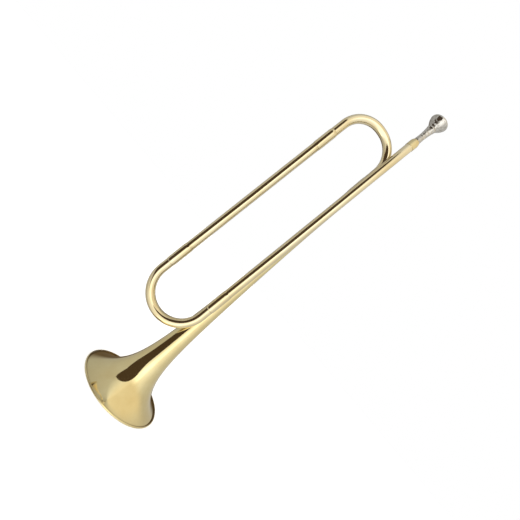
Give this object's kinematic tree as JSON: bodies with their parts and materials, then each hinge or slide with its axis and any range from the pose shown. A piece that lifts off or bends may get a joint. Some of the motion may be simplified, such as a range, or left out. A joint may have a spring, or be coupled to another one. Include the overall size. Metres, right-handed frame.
{
  "type": "bugle",
  "caption": "Natural bugle of polished brass: a flared bell on a tapered stem, a long narrow loop of round tube, and a plated mouthpiece that pulls out of its receiver.",
  "frame": {"origin": "centre of the bell's mouth, in the plane of the rolled rim that the bugle stands on", "axes": "+Z along the bell's axis from the mouth towards the mouthpiece, -X towards the loop, -Y towards the mouthpipe, which crosses in front of the bell's stem"},
  "size_m": [0.1543, 0.123, 0.5641],
  "materials": {
    "lacquered_brass": "polished and clear lacquered",
    "receiver_brass": "turned, polished and clear lacquered",
    "silver_plate": "bright plated",
    "steel_wire": "drawn",
    "solder": "soft solder, scraped clean"
  },
  "bodies": {
    "bugle": {"bell_flare": "lacquered_brass", "bell_rim_wire": "steel_wire", "bell_stem": "lacquered_brass", "stem_ferrule": "lacquered_brass", "upper_bow": "lacquered_brass", "upper_loop_ferrule": "lacquered_brass", "loop_tube": "lacquered_brass", "lower_loop_ferrule": "lacquered_brass", "lower_bow": "lacquered_brass", "mouthpipe_ferrule": "lacquered_brass", "mouthpipe": "lacquered_brass", "mouthpiece_receiver": "receiver_brass", "lower_crossing_solder": "solder", "upper_crossing_solder": "solder"},
    "mouthpiece": {"mouthpiece": "silver_plate"}
  },
  "joints": [
    {"name": "mouthpiece_pull", "type": "slide", "parent": "bugle", "child": "mouthpiece", "axis": [0.0195, 0.0135, 0.9997], "range_m": [0, 0.021]}
  ]
}
